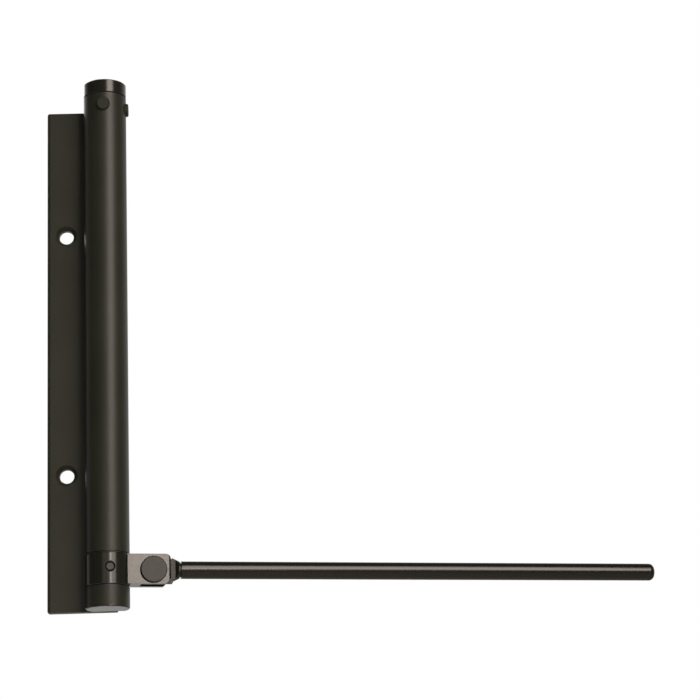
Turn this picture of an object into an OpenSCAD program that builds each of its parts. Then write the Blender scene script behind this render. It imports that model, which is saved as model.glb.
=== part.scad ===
// Tubular spring door closer with a folding rod arm.
// The frame's origin is midway between the two screw holes, on the plate's back face.
// X runs from the plate towards the arm, +Y is the mounting face's outward normal, Z is up.

/* [Mounting plate] */
// Height of the plate
plate_height = 300; // [240:1:360]
// Reach of the plate to the left of the tube's axis
plate_reach = 35; // [30:0.5:50]
// Thickness of the plate
plate_thickness = 5.5; // [4:0.5:6.5]
// Width of the plate's foot to the right of the tube's axis
foot_reach = 5; // [3:0.5:7]
// Radius of the plate's long front edge
plate_edge_radius = 2; // [0.5:0.5:3]
// Radius of the plate's outer corners, seen from the front
plate_corner_radius = 1.2; // [0.6:0.2:4]
// Diameter of the screw holes
screw_hole_diameter = 8.4; // [5:0.1:9]
// Diameter of the countersinks at the front face
countersink_diameter = 12.6; // [10:0.1:14]
// Distance of the screw holes from the plate's left edge
screw_hole_inset = 11.2; // [9:0.1:13]
// Height of the lower screw hole above the plate's lower end
lower_hole_distance = 79; // [40:1:110]
// Distance of the upper screw hole below the plate's upper end
upper_hole_distance = 77; // [40:1:110]

/* [Tube] */
// Outer diameter of the tube
tube_diameter = 25; // [24:0.5:28]
// Wall of the tube
tube_wall = 2.3; // [2:0.1:3]
// Height of the tube above the plate's top
tube_rise = 5.3; // [2:0.1:12]
// Gap between the mounting face and the back of the tube
tube_gap = 1; // [0.7:0.1:5]
// Radius of the fillet between tube and plate
web_fillet = 1.5; // [0.5:0.1:3]

/* [Hub window] */
// Height of the bearing section below the hub
lower_section = 11.85; // [8:0.05:20]
// Height of the opening that the hub turns in
window_height = 19.55; // [18:0.05:26]
// Gap above and below the hub
hub_gap = 0.8; // [0.6:0.1:1.6]
// How far the saw cuts run past the tube into the plate
kerf_reach = 1.7; // [0:0.1:3]
// Depth of the saw cuts in the plate's front face
kerf_depth = 1; // [0.2:0.1:2]

/* [Caps] */
// Height of the tension cap's head
cap_height = 8; // [6:0.1:12]
// Length of the tension cap's shank inside the tube
cap_shank = 20; // [16:1:30]
// Hexagon socket in the cap, across flats
cap_socket = 8; // [6:1:10]
// Depth of the hexagon socket
cap_socket_depth = 7; // [4:0.5:10]
// Thickness of the washer under the cap
cap_washer_thickness = 0.4; // [0.3:0.1:0.8]
// Thickness of the bottom cap's flange
bottom_cap_flange = 0.8; // [0.8:0.1:2]
// How far the bottom cap stays above the plate's lower end
bottom_cap_recess = 0; // [0:0.1:1]
// Head diameter of the retaining pins
lock_head_diameter = 7.8; // [6:0.1:9]
// Height of the retaining pins' heads
lock_head_height = 1.9; // [1:0.1:3]
// Shank diameter of the retaining pins
lock_shank_diameter = 4; // [3:0.1:5]
// Distance of the retaining pins below the tube's upper end
lock_drop = 7.1; // [5:0.1:9]

/* [Bearings and spindle] */
// Diameter of the spindle
spindle_diameter = 12; // [10:0.5:14]
// Running clearance on the radius of a turning fit
running_clearance = 0.05; // [0.02:0.01:0.1]
// Length of the upper bush
upper_bush_length = 12; // [8:1:20]
// Radial clearance of parts that pass along the bore
bore_clearance = 0.1; // [0.05:0.05:0.3]

/* [Spring] */
// Diameter of the spring wire
wire_diameter = 3.6; // [3:0.1:4]
// Radial clearance of the coil in the bore
coil_clearance = 0.4; // [0.2:0.1:1]
// Smallest gap between neighbouring turns
turn_gap = 1.2; // [0.3:0.1:2]
// Height of the spring anchors' flanges
anchor_flange = 10; // [8:0.5:14]
// Height of the spring anchors' cores inside the coil
anchor_core = 8; // [6:0.5:12]
// Diameter of the cross pins in the anchors
anchor_pin_diameter = 3; // [2:0.5:4]

/* [Arm hub] */
// How far the hub's ring stands out from the tube
hub_proud = 0.25; // [0:0.05:0.4]
// Distance of the pivot from the hub's ring
pivot_distance = 12.45; // [11.5:0.05:16]
// Height of the pivot above the fork's underside
pivot_rise = 7.95; // [7.6:0.05:9]
// Distance of the fork's end from the pivot
fork_nose = 10; // [9:0.1:13]
// Thickness of each of the fork's cheeks
cheek_thickness = 3.5; // [2.5:0.1:4]
// How far the fork's underside is above the hub's
fork_step = 1; // [0:0.1:2]
// Rounding and bevel of the fork's end corners
fork_corner = 3; // [1:0.1:4]
// Bevel of the fork's upright end edges
fork_bevel = 1.2; // [0.4:0.1:2]
// Thickness of the washers between the fork and the tongue
friction_washer_thickness = 0.6; // [0.3:0.1:1]
// Diameter of the pivot pin's shank
pivot_pin_diameter = 6; // [4:0.5:7]
// Diameter of the pivot pin's head
pivot_head_diameter = 15.2; // [10:0.1:16]
// Height of the pivot pin's head
pivot_head_height = 1.8; // [1:0.1:2.5]
// Diameter of the hub's cross pin
hub_pin_diameter = 4; // [3:0.1:5]
// Diameter of the countersink around the hub's cross pin
hub_pin_countersink = 6.4; // [5:0.1:8]
// How far the cross pin is above the hub's middle
hub_pin_rise = 0.8; // [0:0.1:1.5]

/* [Arm] */
// Angle of the arm behind the plate's plane at rest
arm_rest_angle = 11; // [0:1:20]
// Distance of the rod's tip from the tube's axis
arm_reach = 324.5; // [200:0.5:400]
// Diameter of the rod
rod_diameter = 10; // [8:0.1:12]
// How far the rod's axis is above the pivot
rod_rise = 0.8; // [0:0.1:1.5]
// Rounding of the rod's tip
rod_tip_radius = 3; // [1:0.1:4]
// Height of the tongue inside the fork
tongue_height = 13.6; // [12:0.1:14]
// Thickness of the tongue
tongue_thickness = 6; // [4:0.1:6]
// Gap between the fork's end and the neck's cone
neck_gap = 1.5; // [0.5:0.1:4]
// Shortest length of the conical neck between tongue and rod
neck_length = 4; // [3:0.1:10]
// Width of the relief groove between neck and rod
groove_width = 1; // [0.4:0.1:1.5]
// Diameter of the stud that joins tongue and rod
stud_diameter = 6; // [4:0.5:7]
// Length of the stud inside the rod
stud_length = 12; // [8:1:20]

/* [Hidden] */
$fn = 96;
eps = 0.01;
cut = 1;
bevel = 0.5;
web_overlap = 0.03;

tube_r = tube_diameter / 2;
bore_r = tube_r - tube_wall;
back_offset = tube_r + tube_gap;
tube_x = plate_reach - screw_hole_inset;
tube_top = plate_height + tube_rise;
plate_front = back_offset - plate_thickness;
hole_r = screw_hole_diameter / 2;
sink_r = countersink_diameter / 2;
sink_depth = sink_r - hole_r;
hole_mid = (plate_height + lower_hole_distance - upper_hole_distance) / 2;

window_top = lower_section + window_height;
hub_bottom = lower_section + hub_gap;
hub_top = window_top - hub_gap;
hub_r = tube_r + hub_proud;
hub_pocket_r = hub_r + 0.3;
washer_gap = 0.1;
thrust_washer_r = tube_r - 0.5;
thrust_washer_thickness = hub_gap - 2 * washer_gap;

spindle_r = spindle_diameter / 2;
bush_r = spindle_r + running_clearance;
shank_r = bore_r - bore_clearance;
bottom_cap_spigot = 2.5;
bottom_cap_top = bottom_cap_recess + bottom_cap_flange;
bush_bottom = bottom_cap_top + bottom_cap_spigot;
upper_bush_top = window_top + upper_bush_length;

anchor_r = shank_r - 0.5;
anchor_spigot_r = 4.5;
anchor_spigot = anchor_flange - 1.5;
anchor_gap = 0.6;
wire_r = wire_diameter / 2;
coil_r = bore_r - coil_clearance - wire_r;
core_r = coil_r - wire_r - 0.2;
leg_bend = 2.5;
leg_end = -3.5;
leg_clearance = 0.15;
wire_seat = wire_r + 0.05;
lower_anchor_z = upper_bush_top + anchor_gap;
spring_bottom = lower_anchor_z + anchor_flange + wire_seat;
cap_bottom = tube_top + cap_washer_thickness + washer_gap;
shank_bottom = tube_top - cap_shank;
upper_anchor_z = shank_bottom - anchor_gap;
spring_top = upper_anchor_z - anchor_flange - wire_seat;
turns = floor((spring_top - spring_bottom) / (wire_diameter + turn_gap));
pitch = (spring_top - spring_bottom) / turns;
turn_steps = 12;
wire_sides = 6;

lock_z = tube_top - lock_drop;
lock_seat = tube_r - 0.5;
lock_groove_r = shank_r - 1.6;
lock_tip = lock_groove_r + 0.3;
lock_groove_height = lock_shank_diameter + 0.6;

fork_bottom = hub_bottom + fork_step;
fork_slot = tongue_thickness + 2 * (friction_washer_thickness + 2 * running_clearance);
fork_thickness = fork_slot + 2 * cheek_thickness;
pivot_radius = hub_r + pivot_distance;
pivot_height = fork_bottom + pivot_rise;
fork_end = pivot_radius + fork_nose;
slot_root = pivot_radius - tongue_height / 2 - running_clearance;
tongue_r = tongue_height / 2;
pivot_r = pivot_pin_diameter / 2;
friction_washer_r = pivot_r + 2.8;
clip_thickness = 1;
pin_end = fork_thickness / 2 + clip_thickness + 0.6;
rod_r = rod_diameter / 2;
neck_start = fork_nose + neck_gap;
neck_r = rod_r - 0.1;
shoulder = norm([hub_top - pivot_height, fork_nose]) - 0.5;
neck_end = max(neck_start + neck_length, shoulder + neck_r - tongue_thickness / 2 + 0.3);
rod_start = pivot_radius + neck_end + groove_width;
hub_pin_r = hub_pin_diameter / 2;
hub_pin_length = 2 * hub_r - 1;
hub_pin_z = (hub_bottom + hub_top) / 2 + hub_pin_rise;

BRONZE = "#2e2b24";
GLOSS_BRONZE = "#35302a";
STEEL = "#8d8f91";
SPRING_STEEL = "#4a4c50";
NYLON = "#d9d6cb";
DARK_NYLON = "#191817";

// Puts children in the tube's frame: the axis is Z and the plate's lower end is z = 0.
module at_tube() {
    translate([tube_x, -back_offset, -hole_mid]) children();
}

// The tube's frame turned so that the arm points along X.
module at_arm() {
    at_tube() rotate([0, 0, arm_rest_angle]) children();
}

// The arm's frame moved to the pivot.
module at_pivot() {
    at_arm() translate([pivot_radius, 0, pivot_height]) children();
}

// A cylinder along Y from y = start to y = end.
module rod_y(r, start, end) {
    translate([0, start, 0]) rotate([-90, 0, 0]) cylinder(r = r, h = end - start);
}

// A cylinder along X from x = start to x = end.
module rod_x(r, start, end) {
    translate([start, 0, 0]) rotate([0, 90, 0]) cylinder(r = r, h = end - start);
}

// A disc with both rims bevelled by b.
module bevelled_disc(r, h, b) {
    rotate_extrude()
        polygon([[0, 0], [r - b, 0], [r, b], [r, h - b], [r - b, h], [0, h]]);
}

// A flat ring.
module ring(r_out, r_in, h) {
    difference() {
        cylinder(r = r_out, h = h);
        translate([0, 0, -cut]) cylinder(r = r_in, h = h + 2 * cut);
    }
}

// What a rounding of radius r takes off a corner at the origin, towards +X and +Y.
module corner_waste(r) {
    difference() {
        translate([-cut, -cut]) square(r + cut);
        translate([r, r]) circle(r = r);
    }
}

// Section of the plate, seen from above.
module plate_section() {
    difference() {
        translate([-plate_reach, plate_front]) square([plate_reach + foot_reach, plate_thickness]);
        translate([-plate_reach, plate_front]) corner_waste(plate_edge_radius);
        translate([-plate_reach, back_offset]) mirror([0, 1]) corner_waste(bevel);
        translate([foot_reach, back_offset]) mirror([1, 0]) mirror([0, 1]) corner_waste(plate_edge_radius);
    }
}

// Fillet that fills the notch between the tube and the plate's front face.
module web_section() {
    y = plate_front - web_fillet;
    x = -sqrt(pow(tube_r + web_fillet, 2) - y * y);
    touch = tube_r / (tube_r + web_fillet);
    difference() {
        polygon([[x, plate_front + eps], [0, plate_front + eps], [0, 0], [x * touch, y * touch], [x, y]]);
        translate([x, y]) circle(r = web_fillet + web_overlap);
    }
}

// The plate with its rounded corners and countersunk holes.
module plate() {
    difference() {
        linear_extrude(height = plate_height) plate_section();
        for (end = [0, 1])
            translate([-plate_reach, back_offset + cut, end * plate_height])
                rotate([90, 0, 0])
                    mirror([0, end])
                        linear_extrude(height = plate_thickness + 2 * cut)
                            corner_waste(plate_corner_radius);
        for (z = [lower_hole_distance, plate_height - upper_hole_distance])
            translate([-tube_x, 0, z]) {
                rod_y(hole_r, plate_front - cut, back_offset + cut);
                translate([0, plate_front - eps, 0])
                    rotate([-90, 0, 0])
                        cylinder(r1 = sink_r + eps, r2 = hole_r, h = sink_depth + eps);
            }
    }
}

// Radial seats for the two retaining pins, at the front and on the arm's side.
module at_locks() {
    for (turn = [0, 90])
        translate([0, 0, lock_z]) rotate([0, 0, turn]) children();
}

// One extrusion: the plate and the tube, with the window that the hub turns in.
module housing() {
    color(BRONZE) at_tube() difference() {
        union() {
            plate();
            linear_extrude(height = plate_height) web_section();
            translate([0, 0, bottom_cap_top]) cylinder(r = tube_r, h = tube_top - bottom_cap_top);
        }
        translate([0, 0, -cut]) cylinder(r = bore_r, h = tube_top + 2 * cut);
        translate([0, 0, -cut]) intersection() {
            cylinder(r = tube_r + web_fillet, h = bottom_cap_top + cut);
            translate([-2 * tube_r, -2 * tube_r, 0])
                cube([4 * tube_r, 2 * tube_r + plate_front, bottom_cap_top + cut]);
        }
        translate([0, 0, lower_section]) cylinder(r = hub_pocket_r, h = window_height);
        for (z = [lower_section, window_top - hub_gap])
            translate([-tube_r - kerf_reach, 0, z])
                cube([tube_r, plate_front + kerf_depth, hub_gap]);
        at_locks() {
            rod_y(lock_shank_diameter / 2, -tube_r - cut, -bore_r + cut);
            rod_y(lock_head_diameter / 2 + bore_clearance, -tube_r - cut, -lock_seat);
        }
    }
}

// Disc that closes the tube's lower end in front of the plate, with its spigot.
module bottom_cap() {
    color(GLOSS_BRONZE) at_tube() {
        translate([0, 0, bottom_cap_recess]) intersection() {
            bevelled_disc(tube_r, bottom_cap_flange + bevel, bevel);
            translate([-2 * tube_r, -2 * tube_r, 0])
                cube([4 * tube_r, 2 * tube_r + plate_front - bore_clearance, bottom_cap_flange]);
        }
        translate([0, 0, bottom_cap_top - eps]) intersection() {
            cylinder(r = bore_r, h = bottom_cap_spigot + eps);
            translate([-2 * tube_r, -2 * tube_r, 0])
                cube([4 * tube_r, 2 * tube_r + plate_front - bore_clearance, bottom_cap_spigot + eps]);
        }
    }
}

// Plain bush pressed into the bore for the spindle to turn in.
module bush(bottom, top) {
    color(NYLON) at_tube() translate([0, 0, bottom]) ring(bore_r, bush_r, top - bottom);
}

module lower_bush() {
    bush(bush_bottom, lower_section);
}

module upper_bush() {
    bush(window_top, upper_bush_top);
}

// Thrust washer that lies against a face of the window.
module thrust_washer(bottom) {
    color(DARK_NYLON) at_tube() translate([0, 0, bottom])
        ring(thrust_washer_r, bush_r, thrust_washer_thickness);
}

module lower_thrust_washer() {
    thrust_washer(lower_section + washer_gap);
}

module upper_thrust_washer() {
    thrust_washer(window_top - washer_gap - thrust_washer_thickness);
}

// Washer between the tube's upper end and the tension cap.
module cap_washer() {
    color(DARK_NYLON) at_tube() translate([0, 0, tube_top])
        ring(thrust_washer_r, bore_r, cap_washer_thickness);
}

// Flat-headed pins whose tips run in the tension cap's groove and keep it in the tube.
module cap_retaining_pins() {
    color(BRONZE) at_tube() at_locks() {
        rod_y(lock_shank_diameter / 2, -lock_seat, -lock_tip);
        translate([0, -lock_seat, 0]) rotate([90, 0, 0])
            rotate_extrude()
                polygon([[0, 0], [lock_head_diameter / 2, 0],
                         [lock_head_diameter / 2, lock_head_height - bevel],
                         [lock_head_diameter / 2 - bevel, lock_head_height], [0, lock_head_height]]);
    }
}

// Round cap with a hexagon socket; its shank turns in the bore and winds the spring.
module tension_cap() {
    color(GLOSS_BRONZE) at_tube() difference() {
        union() {
            translate([0, 0, cap_bottom]) bevelled_disc(tube_r, cap_height, bevel);
            translate([0, 0, shank_bottom]) cylinder(r = shank_r, h = cap_bottom - shank_bottom + eps);
            translate([0, 0, shank_bottom - anchor_gap - anchor_spigot])
                cylinder(r = anchor_spigot_r, h = anchor_spigot + anchor_gap + eps);
        }
        translate([0, 0, cap_bottom + cap_height - cap_socket_depth])
            cylinder(r = cap_socket / 2 / cos(30), h = cap_socket_depth + cut, $fn = 6);
        translate([0, 0, lock_z - lock_groove_height / 2]) difference() {
            cylinder(r = shank_r + cut, h = lock_groove_height);
            translate([0, 0, -cut]) cylinder(r = lock_groove_r, h = lock_groove_height + 2 * cut);
        }
        translate([0, 0, upper_anchor_z - anchor_flange / 2])
            rod_y(anchor_pin_diameter / 2, -tube_r, tube_r);
    }
}

// Flange with a core that fits inside the coil. The core's slot holds the wire's bent-in leg.
// z = 0 is the flange's outer face, and the coil lies on the other one.
module spring_anchor() {
    color(STEEL) difference() {
        union() {
            cylinder(r = anchor_r, h = anchor_flange);
            cylinder(r = core_r, h = anchor_flange + anchor_core);
        }
        translate([0, 0, -cut]) cylinder(r = anchor_spigot_r, h = anchor_spigot + cut);
        translate([-anchor_r, -leg_bend - wire_r - leg_clearance, anchor_flange])
            cube([2 * anchor_r, wire_diameter + 2 * leg_clearance, anchor_core + cut]);
        translate([0, 0, anchor_flange / 2]) rod_y(anchor_pin_diameter / 2, -tube_r, tube_r);
    }
}

module lower_spring_anchor() {
    at_tube() translate([0, 0, lower_anchor_z]) spring_anchor();
}

module upper_spring_anchor() {
    at_tube() translate([0, 0, upper_anchor_z]) rotate([180, 0, 0]) spring_anchor();
}

// Cross pin through an anchor's flange.
module anchor_pin(z) {
    color(STEEL) at_tube() translate([0, 0, z])
        rod_y(anchor_pin_diameter / 2, -anchor_r + bevel, anchor_r - bevel);
}

module lower_anchor_pin() {
    anchor_pin(lower_anchor_z + anchor_flange / 2);
}

module upper_anchor_pin() {
    anchor_pin(upper_anchor_z - anchor_flange / 2);
}

// Points of the bent-in leg and its quarter bend, from the leg's free end to the coil's start.
function leg_points(z) = concat(
    [[leg_end, -leg_bend, z], [0, -leg_bend, z]],
    [for (a = [-90 : 30 : -30]) [coil_r - leg_bend + leg_bend * cos(a), leg_bend * sin(a), z]]);

// The same leg for the upper end, turned over about the X axis and run the other way.
function upper_leg_points(z) =
    let (points = leg_points(z))
    [for (i = [len(points) - 1 : -1 : 0]) [points[i][0], -points[i][1], z]];

// Points of the coil, rising by one pitch a turn.
function coil_points() = [for (i = [0 : turns * turn_steps])
    let (a = 360 * i / turn_steps)
    [coil_r * cos(a), coil_r * sin(a), spring_bottom + pitch * a / 360]];

// Sweeps the wire's section along a path that never stands upright.
module wire(path) {
    last = len(path) - 1;
    points = [for (i = [0 : last])
        let (along = path[min(i + 1, last)] - path[max(i - 1, 0)],
             side = cross(along, [0, 0, 1]) / norm(cross(along, [0, 0, 1])),
             up = cross(side, along) / norm(along))
        for (k = [0 : wire_sides - 1])
            path[i] + wire_r * (cos(360 * k / wire_sides) * side + sin(360 * k / wire_sides) * up)];
    walls = [for (i = [0 : last - 1], k = [0 : wire_sides - 1])
        let (a = i * wire_sides + k, b = i * wire_sides + (k + 1) % wire_sides)
        each [[a, a + wire_sides, b], [b, a + wire_sides, b + wire_sides]]];
    first_end = [for (k = [0 : wire_sides - 1]) k];
    last_end = [for (k = [wire_sides - 1 : -1 : 0]) last * wire_sides + k];
    polyhedron(points, concat(walls, [first_end, last_end]));
}

// Close coil of round wire; both ends are bent in to lie in the anchors' slots.
module torsion_spring() {
    color(SPRING_STEEL) at_tube()
        wire(concat(leg_points(spring_bottom), coil_points(), upper_leg_points(spring_top)));
}

// Shaft through both bushes and the hub; its upper spigot carries the lower spring anchor.
module spindle() {
    color(STEEL) at_arm() difference() {
        union() {
            translate([0, 0, bush_bottom + anchor_gap])
                cylinder(r = spindle_r, h = lower_anchor_z - bush_bottom - anchor_gap);
            translate([0, 0, lower_anchor_z - eps])
                cylinder(r = anchor_spigot_r, h = anchor_spigot + eps);
        }
        translate([0, 0, hub_pin_z]) rod_y(hub_pin_r, -tube_r, tube_r);
        translate([0, 0, lower_anchor_z + anchor_flange / 2])
            rotate([0, 0, -arm_rest_angle])
                rod_y(anchor_pin_diameter / 2, -tube_r, tube_r);
    }
}

// Side outline of the fork in X and Z, with its upper corner rounded and its lower one bevelled.
module fork_side() {
    difference() {
        translate([0, fork_bottom]) square([fork_end, hub_top - fork_bottom]);
        translate([fork_end, hub_top]) mirror([1, 0]) mirror([0, 1]) corner_waste(fork_corner);
        translate([fork_end, fork_bottom])
            polygon([[-fork_corner, 0], [-fork_corner, -cut], [cut, -cut], [cut, fork_corner], [0, fork_corner]]);
    }
}

// Plan outline of the fork, with its upright end edges bevelled.
module fork_plan() {
    half = fork_thickness / 2;
    polygon([[0, -half], [fork_end - fork_bevel, -half], [fork_end, -half + fork_bevel],
             [fork_end, half - fork_bevel], [fork_end - fork_bevel, half], [0, half]]);
}

// Ring that turns in the window, with the fork that carries the arm.
module arm_hub() {
    color(GLOSS_BRONZE) at_arm() difference() {
        union() {
            translate([0, 0, hub_bottom]) bevelled_disc(hub_r, hub_top - hub_bottom, 0.3);
            intersection() {
                translate([0, fork_thickness, 0]) rotate([90, 0, 0])
                    linear_extrude(height = 2 * fork_thickness) fork_side();
                linear_extrude(height = hub_top + cut) fork_plan();
            }
        }
        cylinder(r = spindle_r, h = 2 * hub_top);
        translate([slot_root, -fork_slot / 2, 0]) cube([fork_end, fork_slot, 2 * hub_top]);
        translate([pivot_radius, 0, pivot_height]) rod_y(pivot_r, -tube_r, tube_r);
        translate([0, 0, hub_pin_z]) {
            rod_y(hub_pin_r, -2 * tube_r, 2 * tube_r);
            for (side = [0, 180])
                rotate([0, 0, side]) translate([0, -hub_r - eps, 0]) rotate([-90, 0, 0])
                    cylinder(r1 = hub_pin_countersink / 2, r2 = hub_pin_r,
                             h = hub_pin_countersink / 2 - hub_pin_r);
        }
    }
}

// Cross pin that fixes the hub to the spindle.
module hub_pin() {
    color(GLOSS_BRONZE) at_arm() translate([0, 0, hub_pin_z])
        rod_y(hub_pin_r, -hub_pin_length / 2, hub_pin_length / 2);
}

// Pin with a large flat head in front of the fork.
module pivot_pin() {
    color(GLOSS_BRONZE) at_pivot() {
        rod_y(pivot_r, -fork_thickness / 2 - eps, pin_end);
        translate([0, -fork_thickness / 2, 0]) rotate([90, 0, 0])
            rotate_extrude()
                polygon([[0, 0], [pivot_head_diameter / 2, 0],
                         [pivot_head_diameter / 2, pivot_head_height - bevel],
                         [pivot_head_diameter / 2 - bevel, pivot_head_height], [0, pivot_head_height]]);
    }
}

// Push-on clip that holds the pivot pin behind the fork.
module pivot_clip() {
    color(STEEL) at_pivot() translate([0, fork_thickness / 2 + clip_thickness, 0])
        rotate([90, 0, 0]) ring(pivot_r + 2, pivot_r, clip_thickness);
}

// Washers between the tongue and the fork's cheeks.
module friction_washers() {
    color(DARK_NYLON) at_pivot()
        for (side = [0, 180])
            rotate([0, 0, side])
                translate([0, fork_slot / 2 - running_clearance, 0]) rotate([90, 0, 0])
                    ring(friction_washer_r, pivot_r + running_clearance, friction_washer_thickness);
}

// Side outline of the tongue: round at the upper back, square below as the arm's stop.
module tongue_side() {
    circle(r = tongue_r);
    translate([-tongue_r, -tongue_r]) square(tongue_r);
    translate([0, -tongue_r]) square([neck_start, tongue_height]);
}

// Plan outline of the tongue: it widens to the rod once it is clear of the fork's corner.
module tongue_plan() {
    half = tongue_thickness / 2;
    polygon([[-tongue_r, -half], [shoulder, -half], [shoulder + neck_r - half, -neck_r],
             [neck_end, -neck_r], [neck_end, neck_r], [shoulder + neck_r - half, neck_r],
             [shoulder, half], [-tongue_r, half]]);
}

// Flat tongue with a conical neck and the stud for the rod.
module arm_tongue() {
    color(GLOSS_BRONZE) at_pivot() {
        difference() {
            intersection() {
                union() {
                    translate([0, tongue_thickness, 0]) rotate([90, 0, 0])
                        linear_extrude(height = 2 * tongue_thickness) tongue_side();
                    translate([neck_start - eps, 0, rod_rise]) rotate([0, 90, 0])
                        cylinder(r1 = tongue_r, r2 = neck_r, h = neck_end - neck_start + eps);
                }
                translate([0, 0, -tongue_height]) linear_extrude(height = 2 * tongue_height) tongue_plan();
            }
            rod_y(pivot_r + running_clearance, -tube_r, tube_r);
        }
        translate([0, 0, rod_rise]) {
            rod_x(rod_r - 1, neck_end - eps, neck_end + groove_width);
            rod_x(stud_diameter / 2, neck_end, neck_end + groove_width + stud_length);
        }
    }
}

// Round rod with a rounded tip and a blind hole for the tongue's stud.
module arm_rod() {
    color(GLOSS_BRONZE) at_arm() translate([0, 0, pivot_height + rod_rise]) rotate([0, 90, 0]) difference() {
        rotate_extrude() difference() {
            translate([0, rod_start]) square([rod_r, arm_reach - rod_start]);
            translate([rod_r, arm_reach]) mirror([1, 0]) mirror([0, 1]) corner_waste(rod_tip_radius);
        }
        translate([0, 0, rod_start - cut]) cylinder(r = stud_diameter / 2, h = stud_length + 2 * cut);
    }
}

housing();
bottom_cap();
lower_bush();
upper_bush();
lower_thrust_washer();
upper_thrust_washer();
cap_washer();
cap_retaining_pins();
tension_cap();
upper_spring_anchor();
upper_anchor_pin();
torsion_spring();
lower_spring_anchor();
lower_anchor_pin();
spindle();
arm_hub();
hub_pin();
pivot_pin();
pivot_clip();
friction_washers();
arm_tongue();
arm_rod();
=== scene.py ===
"""Looks of a tubular spring door closer: bronze housing, glossy hub and caps, and a folding rod arm.

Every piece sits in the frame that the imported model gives, in metres, with +Z up.
"""

import math

import bmesh
import bpy
from bpy.props import FloatProperty, FloatVectorProperty, IntProperty, PointerProperty
from mathutils import Matrix, Vector


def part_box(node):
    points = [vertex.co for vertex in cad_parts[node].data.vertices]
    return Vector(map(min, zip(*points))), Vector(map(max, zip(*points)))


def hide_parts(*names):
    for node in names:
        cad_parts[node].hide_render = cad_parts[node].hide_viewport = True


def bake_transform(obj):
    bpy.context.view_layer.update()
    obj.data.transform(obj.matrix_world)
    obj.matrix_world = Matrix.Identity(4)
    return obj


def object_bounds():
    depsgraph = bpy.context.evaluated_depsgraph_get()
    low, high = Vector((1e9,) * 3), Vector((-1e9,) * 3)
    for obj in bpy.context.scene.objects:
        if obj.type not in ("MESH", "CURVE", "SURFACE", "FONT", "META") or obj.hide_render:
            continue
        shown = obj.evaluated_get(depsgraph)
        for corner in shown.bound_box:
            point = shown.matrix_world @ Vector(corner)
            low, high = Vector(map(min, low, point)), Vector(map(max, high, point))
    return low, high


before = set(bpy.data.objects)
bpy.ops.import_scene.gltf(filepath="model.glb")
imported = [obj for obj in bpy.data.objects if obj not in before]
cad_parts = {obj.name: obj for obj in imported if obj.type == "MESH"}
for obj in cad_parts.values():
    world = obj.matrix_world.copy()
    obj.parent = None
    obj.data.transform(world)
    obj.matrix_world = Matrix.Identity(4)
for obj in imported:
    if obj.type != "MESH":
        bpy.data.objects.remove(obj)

CAD_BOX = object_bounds()

bl_info = {
    "name": "Tubular Door Closer",
    "version": (1, 0, 0),
    "blender": (4, 5, 0),
    "location": "View3D > Sidebar > Door Closer",
    "description": "Finishes a tubular spring door closer and sets its studio",
    "category": "Object",
}

MM = 0.001
TURN_STEPS = 24
WIRE_SIDES = 12
ANCHOR_FLANGE = 10 * MM
SEAT_GAP = 0.05 * MM

FLOOR_HALF = 3.5
PAPER_GLOW_SHARE = 0.85
FRONT_GLOW = 0.07
BACK_GLOW = 0.95
OVERHEAD_GLOW = 0.22
SENSOR_WIDTH = 36

# name, node it is aimed at, azimuth, elevation, distance, width, height, setting of its power, spread
SOFTBOXES = (
    ("key softbox", "housing", 32, 26, 1.6, 0.85, 1.35, "key_power", 75),
    ("bounce card", "housing", 2, -2, 1.7, 1.5, 0.9, "bounce_power", 180),
    ("back softbox", "housing", 205, 35, 1.7, 1.0, 1.3, "back_power", 180),
    ("accent card", "arm_hub", 18.5, 9, 1.5, 0.22, 0.3, "accent_power", 180),
)

HOUSING = ("housing", "cap_retaining_pins")
CAPS = ("tension_cap", "bottom_cap")
HUB = ("arm_hub",)
BLASTED = ("pivot_pin", "hub_pin", "arm_tongue")
ROD = ("arm_rod",)
BUSHES = ("lower_bush", "upper_bush")
WASHERS = ("lower_thrust_washer", "upper_thrust_washer", "cap_washer", "friction_washers")
PLATED = ("spindle", "upper_spring_anchor", "lower_spring_anchor", "upper_anchor_pin",
          "lower_anchor_pin", "pivot_clip")


def linear(hex_colour):
    """Turns an sRGB colour such as "#2e2b24" into linear red, green, blue."""
    channels = [int(hex_colour[i:i + 2], 16) / 255 for i in (1, 3, 5)]
    return tuple(c / 12.92 if c <= 0.04045 else ((c + 0.055) / 1.055) ** 2.4 for c in channels)


def settings(context):
    return context.scene.door_closer


# ---------------------------------------------------------------- settings


class FinishSettings(bpy.types.PropertyGroup):
    coat_colour: FloatVectorProperty(
        name="Powder coat",
        description="Dark bronze of the plate and tube",
        subtype="COLOR", size=3, min=0, max=1,
        default=linear("#2b2b21"))
    coat_roughness: FloatProperty(
        name="Powder coat roughness",
        description="How wide the satin highlight on the tube is",
        subtype="FACTOR", min=0, max=1,
        default=0.40)
    coat_grain: FloatProperty(
        name="Powder coat grain",
        description="Spacing of the coat's fine dimples",
        unit="LENGTH", min=0.0002, max=0.005, precision=4,
        default=0.9 * MM)
    enamel_colour: FloatVectorProperty(
        name="Enamel",
        description="Dark bronze of the caps, the hub and the arm",
        subtype="COLOR", size=3, min=0, max=1,
        default=linear("#211f19"))
    enamel_roughness: FloatProperty(
        name="Enamel roughness",
        description="How sharp the highlight on the caps and the rod is",
        subtype="FACTOR", min=0, max=1,
        default=0.2)
    pin_roughness: FloatProperty(
        name="Blasted roughness",
        description="Softness of the bead-blasted pins and tongue",
        subtype="FACTOR", min=0, max=1,
        default=0.42)
    sheen_tint: FloatVectorProperty(
        name="Highlight tint",
        description="Warm tint that bronze pigment gives a highlight",
        subtype="COLOR", size=3, min=0, max=1,
        default=linear("#fff0e4"))


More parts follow.
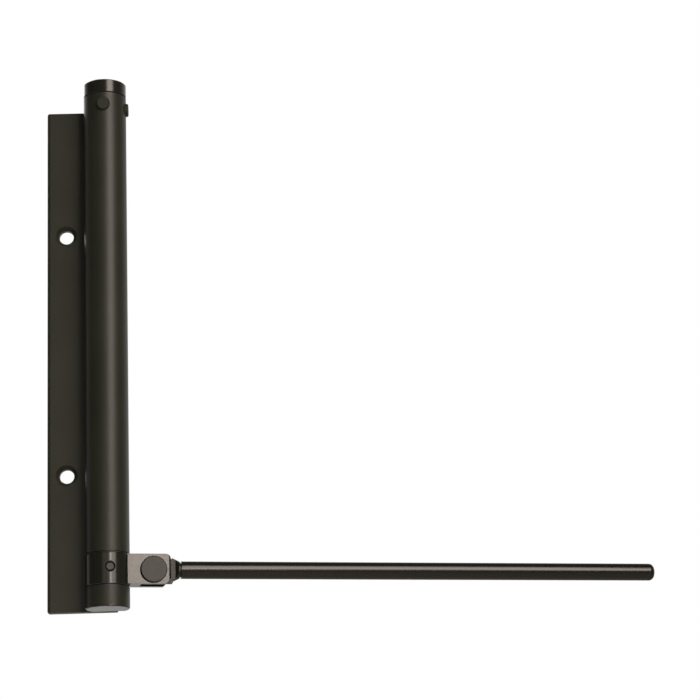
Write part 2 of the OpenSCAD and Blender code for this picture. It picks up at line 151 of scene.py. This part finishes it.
class SpringSettings(bpy.types.PropertyGroup):
    wire_diameter: FloatProperty(
        name="Wire",
        description="Diameter of the spring wire",
        unit="LENGTH", min=2 * MM, max=5 * MM, precision=4,
        default=3.6 * MM)
    turns: IntProperty(
        name="Turns",
        description="Number of turns in the coil",
        min=10, max=60,
        default=45)
    leg_bend: FloatProperty(
        name="Leg bend",
        description="Radius of the bend that leads the wire's ends in across the coil",
        unit="LENGTH", min=2 * MM, max=4 * MM, precision=4,
        default=2.5 * MM)
    leg_reach: FloatProperty(
        name="Leg reach",
        description="How far the wire's ends run past the coil's axis",
        unit="LENGTH", min=0, max=5 * MM, precision=4,
        default=3.5 * MM)


class StageSettings(bpy.types.PropertyGroup):
    camera_place: FloatVectorProperty(
        name="Camera place",
        description="Where the camera stands",
        subtype="TRANSLATION", unit="LENGTH", size=3,
        default=(0.12641, -1.34813, -0.35749))
    camera_yaw: FloatProperty(
        name="Camera yaw",
        description="Turn of the camera to its left",
        unit="ROTATION",
        default=math.radians(-1.65))
    camera_pitch: FloatProperty(
        name="Camera pitch",
        description="How far the camera looks up",
        unit="ROTATION",
        default=math.radians(14.84))
    camera_roll: FloatProperty(
        name="Camera roll",
        description="How far the camera is tipped about its own line of sight",
        unit="ROTATION",
        default=math.radians(-1.90))
    camera_lens: FloatProperty(
        name="Focal length",
        description="Focal length in millimetres for a sensor 36 mm wide",
        min=20, max=400,
        default=122.42)
    key_power: FloatProperty(
        name="Key light",
        description="Power of the tall softbox at the front right",
        unit="POWER", min=0,
        default=4.5)
    bounce_power: FloatProperty(
        name="Bounce light",
        description="Power of the wide, dim card low in front",
        unit="POWER", min=0,
        default=2.8)
    back_power: FloatProperty(
        name="Back light",
        description="Power of the softbox high up behind, which lights the back and the upper rims",
        unit="POWER", min=0,
        default=6)
    accent_power: FloatProperty(
        name="Accent light",
        description="Power of the small card that the fork's face mirrors",
        unit="POWER", min=0,
        default=1.6)
    floor_depth: FloatProperty(
        name="Floor depth",
        description="Distance of the floor below the plate's middle",
        unit="LENGTH", min=0.2,
        default=0.75)


class DoorCloserSettings(bpy.types.PropertyGroup):
    finish: PointerProperty(type=FinishSettings)
    spring: PointerProperty(type=SpringSettings)
    stage: PointerProperty(type=StageSettings)


# --------------------------------------------------------------- materials


def add(material, kind, inputs=None, links=None, **properties):
    """Adds a node, sets its properties and input values, and links (node, output) pairs into it."""
    node = material.node_tree.nodes.new(kind)
    for name, value in properties.items():
        setattr(node, name, value)
    for name, value in (inputs or {}).items():
        node.inputs[name].default_value = value
    for name, (source, output) in (links or {}).items():
        material.node_tree.links.new(source.outputs[output], node.inputs[name])
    return node


def new_material(name):
    material = bpy.data.materials.new(name)
    material.use_nodes = True
    material.node_tree.nodes.clear()
    return material


def finish_material(material, shader):
    add(material, "ShaderNodeOutputMaterial", links={"Surface": (shader, "BSDF")})
    return material


def rgba(colour):
    return (*colour, 1)


def satin_powder_coat(s):
    """Polyester powder coat on an aluminium extrusion: dark olive bronze with a soft satin sheen.

    The eye sees a broad highlight with a faint orange-peel grain and slow, weak mottling."""
    m = new_material("satin bronze powder coat")
    place = add(m, "ShaderNodeTexCoord")
    mottle = add(m, "ShaderNodeTexNoise", {"Scale": 1 / 0.035, "Detail": 2, "Roughness": 0.5},
                 {"Vector": (place, "Object")})
    tone = add(m, "ShaderNodeMapRange", {"From Min": 0.3, "From Max": 0.7, "To Min": 0.88, "To Max": 1.12},
               {"Value": (mottle, "Fac")})
    colour = add(m, "ShaderNodeHueSaturation", {"Color": rgba(s.coat_colour)}, {"Value": (tone, "Result")})
    grain = add(m, "ShaderNodeTexNoise", {"Scale": 1 / s.coat_grain, "Detail": 2, "Roughness": 0.6},
                {"Vector": (place, "Object")})
    satin = add(m, "ShaderNodeMapRange", {"From Min": 0.3, "From Max": 0.7,
                                          "To Min": s.coat_roughness - 0.04,
                                          "To Max": s.coat_roughness + 0.04},
                {"Value": (grain, "Fac")})
    dimples = add(m, "ShaderNodeBump", {"Strength": 0.25, "Distance": 0.02 * MM}, {"Height": (grain, "Fac")})
    shader = add(m, "ShaderNodeBsdfPrincipled",
                 {"IOR": 1.5, "Specular IOR Level": 0.36, "Specular Tint": rgba(s.sheen_tint)},
                 {"Base Color": (colour, "Color"), "Roughness": (satin, "Result"),
                  "Normal": (dimples, "Normal")})
    return finish_material(m, shader)


def gloss_enamel(s, name, roughness):
    """Stove enamel on turned steel: near black bronze with a narrow, bright highlight.

    The eye sees a clear reflection of the softbox with a slight waver, because enamel flows as it bakes."""
    m = new_material(name)
    place = add(m, "ShaderNodeTexCoord")
    flow = add(m, "ShaderNodeTexNoise", {"Scale": 1 / (4 * MM), "Detail": 1}, {"Vector": (place, "Object")})
    speck = add(m, "ShaderNodeTexNoise", {"Scale": 1 / (0.6 * MM), "Detail": 2},
                {"Vector": (place, "Object")})
    satin = add(m, "ShaderNodeMapRange", {"From Min": 0.3, "From Max": 0.7,
                                          "To Min": roughness - 0.03, "To Max": roughness + 0.03},
                {"Value": (speck, "Fac")})
    waver = add(m, "ShaderNodeBump", {"Strength": 0.2, "Distance": 0.05 * MM}, {"Height": (flow, "Fac")})
    shader = add(m, "ShaderNodeBsdfPrincipled",
                 {"Base Color": rgba(s.enamel_colour), "IOR": 1.5, "Specular Tint": rgba(s.sheen_tint)},
                 {"Roughness": (satin, "Result"), "Normal": (waver, "Normal")})
    return finish_material(m, shader)


def zinc_plated_steel():
    """Bright zinc on turned steel: pale grey metal with fine turning marks across the part's axis."""
    m = new_material("zinc plated steel")
    place = add(m, "ShaderNodeTexCoord")
    marks = add(m, "ShaderNodeTexWave",
                {"Scale": 1 / (0.5 * MM) / (2 * math.pi), "Distortion": 0.6, "Detail": 2},
                {"Vector": (place, "Object")}, bands_direction="Z")
    cloud = add(m, "ShaderNodeTexNoise", {"Scale": 1 / (3 * MM), "Detail": 3}, {"Vector": (place, "Object")})
    tone = add(m, "ShaderNodeMapRange", {"To Min": 0.92, "To Max": 1.08}, {"Value": (cloud, "Fac")})
    colour = add(m, "ShaderNodeHueSaturation", {"Color": rgba(linear("#b9bcbe"))},
                 {"Value": (tone, "Result")})
    satin = add(m, "ShaderNodeMapRange", {"To Min": 0.22, "To Max": 0.38}, {"Value": (cloud, "Fac")})
    grooves = add(m, "ShaderNodeBump", {"Strength": 0.15, "Distance": 0.02 * MM}, {"Height": (marks, "Fac")})
    shader = add(m, "ShaderNodeBsdfPrincipled", {"Metallic": 1},
                 {"Base Color": (colour, "Color"), "Roughness": (satin, "Result"),
                  "Normal": (grooves, "Normal")})
    return finish_material(m, shader)


def spring_steel():
    """Oil-tempered spring wire: blue-black steel with dull drawing marks along the wire."""
    m = new_material("oil tempered spring steel")
    place = add(m, "ShaderNodeTexCoord")
    scale = add(m, "ShaderNodeTexNoise", {"Scale": 1 / (1.2 * MM), "Detail": 4},
                {"Vector": (place, "Object")})
    tone = add(m, "ShaderNodeMapRange", {"To Min": 0.75, "To Max": 1.25}, {"Value": (scale, "Fac")})
    colour = add(m, "ShaderNodeHueSaturation", {"Color": rgba(linear("#54565c"))},
                 {"Value": (tone, "Result")})
    satin = add(m, "ShaderNodeMapRange", {"To Min": 0.3, "To Max": 0.5}, {"Value": (scale, "Fac")})
    shader = add(m, "ShaderNodeBsdfPrincipled", {"Metallic": 1},
                 {"Base Color": (colour, "Color"), "Roughness": (satin, "Result")})
    return finish_material(m, shader)


def moulded_nylon(name, hex_colour):
    """Injection-moulded nylon: slightly waxy and translucent, with a fine spark-eroded grain."""
    m = new_material(name)
    place = add(m, "ShaderNodeTexCoord")
    grain = add(m, "ShaderNodeTexNoise", {"Scale": 1 / (0.3 * MM), "Detail": 2},
                {"Vector": (place, "Object")})
    tone = add(m, "ShaderNodeMapRange", {"To Min": 0.95, "To Max": 1.05}, {"Value": (grain, "Fac")})
    colour = add(m, "ShaderNodeHueSaturation", {"Color": rgba(linear(hex_colour))},
                 {"Value": (tone, "Result")})
    satin = add(m, "ShaderNodeMapRange", {"To Min": 0.42, "To Max": 0.55}, {"Value": (grain, "Fac")})
    dimples = add(m, "ShaderNodeBump", {"Strength": 0.2, "Distance": 0.02 * MM}, {"Height": (grain, "Fac")})
    shader = add(m, "ShaderNodeBsdfPrincipled", {"IOR": 1.53},
                 {"Base Color": (colour, "Color"), "Roughness": (satin, "Result"),
                  "Normal": (dimples, "Normal")})
    return finish_material(m, shader)


def matt_floor():
    """Matt white paper sweep: even and pale to look at, and dim enough not to light the object from below."""
    m = new_material("matt white paper")
    paper = add(m, "ShaderNodeBsdfPrincipled", {"Base Color": rgba(linear("#efeeeb")), "Roughness": 0.9})
    glow = add(m, "ShaderNodeEmission", {"Color": rgba(linear("#f4f3f1")), "Strength": 1.0})
    seen = add(m, "ShaderNodeLightPath")
    share = add(m, "ShaderNodeMapRange", {"To Max": PAPER_GLOW_SHARE}, {"Value": (seen, "Is Camera Ray")})
    both = add(m, "ShaderNodeMixShader",
               links={0: (share, "Result"), 1: (paper, "BSDF"), 2: (glow, "Emission")})
    add(m, "ShaderNodeOutputMaterial", links={"Surface": (both, "Shader")})
    return m


def paint(nodes, material):
    """Gives CAD nodes a material in place of their plain one."""
    for name in nodes:
        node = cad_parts[name]
        node.data.materials.clear()
        node.data.materials.append(material)


# ------------------------------------------------------------------ pieces


def spring_path(s, coil_radius, bottom, top):
    """Points of the wire's centre line about the Z axis: lower leg, coil and upper leg."""
    bend = s.leg_bend
    leg = [(-s.leg_reach, -bend), (0, -bend)]
    for step in range(1, 9):
        a = math.radians(-90 + 10 * step)
        leg.append((coil_radius - bend + bend * math.cos(a), bend * math.sin(a)))
    steps = s.turns * TURN_STEPS
    coil = []
    for i in range(steps + 1):
        a = math.tau * i / TURN_STEPS
        z = bottom + (top - bottom) * i / steps
        coil.append(Vector((coil_radius * math.cos(a), coil_radius * math.sin(a), z)))
    lower = [Vector((x, y, bottom)) for x, y in leg]
    upper = [Vector((x, -y, top)) for x, y in reversed(leg)]
    return lower + coil + upper


def sweep_wire(name, path, radius):
    """Round wire along a path that never stands upright, closed at both ends."""
    mesh = bmesh.new()
    rings = []
    for i, point in enumerate(path):
        along = (path[min(i + 1, len(path) - 1)] - path[max(i - 1, 0)]).normalized()
        side = along.cross(Vector((0, 0, 1))).normalized()
        up = side.cross(along)
        turn = [math.tau * k / WIRE_SIDES for k in range(WIRE_SIDES)]
        rings.append([mesh.verts.new(point + radius * (math.cos(a) * side + math.sin(a) * up)) for a in turn])
    for ring, following in zip(rings, rings[1:]):
        for k in range(WIRE_SIDES):
            n = (k + 1) % WIRE_SIDES
            mesh.faces.new((ring[k], following[k], following[n], ring[n])).smooth = True
    mesh.faces.new(rings[0])
    mesh.faces.new(reversed(rings[-1]))
    bmesh.ops.recalc_face_normals(mesh, faces=mesh.faces)
    data = bpy.data.meshes.new(name)
    mesh.to_mesh(data)
    mesh.free()
    piece = bpy.data.objects.new(name, data)
    bpy.context.scene.collection.objects.link(piece)
    return piece


class CLOSER_OT_housing(bpy.types.Operator):
    """Powder coats the plate, the tube and the two retaining pins"""
    bl_idname = "door_closer.housing"
    bl_label = "Housing"

    def execute(self, context):
        paint(HOUSING, satin_powder_coat(settings(context).finish))
        return {"FINISHED"}


class CLOSER_OT_caps_and_hub(bpy.types.Operator):
    """Enamels the caps, the hub with its cross pin, and the arm"""
    bl_idname = "door_closer.caps_and_hub"
    bl_label = "Caps, hub and arm"

    def execute(self, context):
        s = settings(context).finish
        paint(CAPS + HUB + ROD, gloss_enamel(s, "gloss bronze enamel", s.enamel_roughness))
        paint(BLASTED, gloss_enamel(s, "blasted bronze enamel", s.pin_roughness))
        return {"FINISHED"}


class CLOSER_OT_bearings(bpy.types.Operator):
    """Gives the bushes and washers their nylon"""
    bl_idname = "door_closer.bearings"
    bl_label = "Bushes and washers"

    def execute(self, context):
        paint(BUSHES, moulded_nylon("natural nylon", "#ded9cb"))
        paint(WASHERS, moulded_nylon("black nylon", "#1b1a19"))
        return {"FINISHED"}


class CLOSER_OT_spring(bpy.types.Operator):
    """Winds the torsion spring from round wire in two halves"""
    bl_idname = "door_closer.spring"
    bl_label = "Torsion spring"

    def execute(self, context):
        s = settings(context).spring
        wire = s.wire_diameter / 2
        lo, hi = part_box("torsion_spring")
        rise = SEAT_GAP + wire
        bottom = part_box("lower_spring_anchor")[0].z + ANCHOR_FLANGE + rise
        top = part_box("upper_spring_anchor")[1].z - ANCHOR_FLANGE - rise
        path = spring_path(s, (hi.x - lo.x) / 2 - wire, bottom, top)
        middle = len(path) // 2
        seam = path[middle].z
        axis = Vector(((lo.x + hi.x) / 2, (lo.y + hi.y) / 2, 0))
        steel = spring_steel()
        halves = (("torsion_spring_lower_half", path[:middle + 1], "arm_hub", "housing", bottom + wire, seam),
                  ("torsion_spring_upper_half", path[middle:], "housing", "tension_cap", seam, top - wire))
        for name, points, below, above, start, end in halves:
            piece = sweep_wire(name, points, wire)
            piece.location = axis
            piece.data.materials.append(steel)
            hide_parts("torsion_spring")
            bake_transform(piece)
        return {"FINISHED"}


class CLOSER_OT_works(bpy.types.Operator):
    """Plates the spindle, the spring's anchors and the pins"""
    bl_idname = "door_closer.works"
    bl_label = "Spindle and anchors"

    def execute(self, context):
        paint(PLATED, zinc_plated_steel())
        return {"FINISHED"}


# ------------------------------------------------------------------- stage


def area_light(name, place, target, width, height, power, spread):
    """Rectangular softbox that faces its target and isn't seen by the camera; spread in degrees."""
    light = bpy.data.lights.new(name, "AREA")
    light.shape = "RECTANGLE"
    light.size = width
    light.size_y = height
    light.energy = power
    light.spread = math.radians(spread)
    obj = bpy.data.objects.new(name, light)
    obj.location = place
    obj.rotation_euler = (Vector(target) - Vector(place)).to_track_quat("-Z", "Y").to_euler()
    obj.visible_camera = False
    bpy.context.scene.collection.objects.link(obj)


def around(centre, azimuth, elevation, distance):
    """Point at a distance from centre. Azimuth 0 is in front, on -Y, and 90 is on +X; both in degrees."""
    a, e = math.radians(azimuth), math.radians(elevation)
    direction = Vector((math.sin(a) * math.cos(e), -math.cos(a) * math.cos(e), math.sin(e)))
    return Vector(centre) + distance * direction


def studio_world():
    """White surroundings, dimmer in front of the object than behind it; a plain white backdrop to look at."""
    world = bpy.data.worlds.new("white studio")
    world.use_nodes = True
    world.node_tree.nodes.clear()
    direction = add(world, "ShaderNodeTexCoord")
    axes = add(world, "ShaderNodeSeparateXYZ", links={"Vector": (direction, "Generated")})
    glow = add(world, "ShaderNodeMapRange",
               {"From Min": 0.0, "From Max": 0.85, "To Min": FRONT_GLOW, "To Max": BACK_GLOW},
               {"Value": (axes, "Y")}, interpolation_type="SMOOTHSTEP")
    overhead = add(world, "ShaderNodeMapRange",
                   {"From Min": 0.3, "From Max": 0.8, "To Min": 1.0, "To Max": OVERHEAD_GLOW},
                   {"Value": (axes, "Z")})
    band = add(world, "ShaderNodeMath", links={0: (glow, "Result"), 1: (overhead, "Result")},
               operation="MULTIPLY")
    seen = add(world, "ShaderNodeLightPath")
    strength = add(world, "ShaderNodeMix", {"B": 1.0},
                   {"Factor": (seen, "Is Camera Ray"), "A": (band, "Value")})
    shader = add(world, "ShaderNodeBackground", {"Color": (1, 1, 1, 1)}, {"Strength": (strength, "Result")})
    add(world, "ShaderNodeOutputWorld", links={"Surface": (shader, "Background")})
    return world


class CLOSER_OT_stage(bpy.types.Operator):
    """Sets the floor, the softboxes, the white surroundings and the camera"""
    bl_idname = "door_closer.stage"
    bl_label = "Stage"

    def execute(self, context):
        s = settings(context).stage
        lo, hi = CAD_BOX
        centre = (lo + hi) / 2

        corners = [(x * FLOOR_HALF, y * FLOOR_HALF, 0) for x, y in ((-1, -1), (1, -1), (1, 1), (-1, 1))]
        mesh = bpy.data.meshes.new("floor")
        mesh.from_pydata(corners, [], [(0, 1, 2, 3)])
        floor = bpy.data.objects.new("floor", mesh)
        floor.location = (centre.x, centre.y, -s.floor_depth)
        floor.data.materials.append(matt_floor())
        context.scene.collection.objects.link(floor)

        for name, node, azimuth, elevation, distance, width, height, power, spread in SOFTBOXES:
            aim = sum(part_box(node), Vector()) / 2
            area_light(name, around(aim, azimuth, elevation, distance), aim, width, height,
                       getattr(s, power), spread)

        context.scene.world = studio_world()
        context.scene.view_settings.view_transform = "Standard"

        camera = bpy.data.cameras.new("camera")
        camera.lens = s.camera_lens
        camera.sensor_width = SENSOR_WIDTH
        camera.clip_start = 0.05
        camera.clip_end = 50
        eye = bpy.data.objects.new("camera", camera)
        eye.matrix_world = (Matrix.Translation(s.camera_place)
                            @ Matrix.Rotation(s.camera_yaw, 4, "Z")
                            @ Matrix.Rotation(math.pi / 2 + s.camera_pitch, 4, "X")
                            @ Matrix.Rotation(s.camera_roll, 4, "Z"))
        context.scene.collection.objects.link(eye)
        context.scene.camera = eye
        return {"FINISHED"}


# ------------------------------------------------------------------- panel

PIECES = (CLOSER_OT_housing, CLOSER_OT_caps_and_hub, CLOSER_OT_bearings, CLOSER_OT_works, CLOSER_OT_spring,
          CLOSER_OT_stage)


class CLOSER_PT_sidebar(bpy.types.Panel):
    """Sizes, colours and pieces of the door closer"""
    bl_idname = "CLOSER_PT_sidebar"
    bl_label = "Door Closer"
    bl_space_type = "VIEW_3D"
    bl_region_type = "UI"
    bl_category = "Door Closer"

    def draw(self, context):
        for group in (settings(context).finish, settings(context).spring, settings(context).stage):
            box = self.layout.box()
            for name in group.__annotations__:
                box.prop(group, name)
        for piece in PIECES:
            self.layout.operator(piece.bl_idname)


CLASSES = (FinishSettings, SpringSettings, StageSettings, DoorCloserSettings, *PIECES, CLOSER_PT_sidebar)


def register():
    for cls in CLASSES:
        bpy.utils.register_class(cls)
    bpy.types.Scene.door_closer = PointerProperty(type=DoorCloserSettings)


def unregister():
    del bpy.types.Scene.door_closer
    for cls in reversed(CLASSES):
        bpy.utils.unregister_class(cls)


def main():
    register()
    bpy.ops.door_closer.housing()
    bpy.ops.door_closer.caps_and_hub()
    bpy.ops.door_closer.bearings()
    bpy.ops.door_closer.works()
    bpy.ops.door_closer.spring()
    bpy.ops.door_closer.stage()


if __name__ == "__main__":
    main()
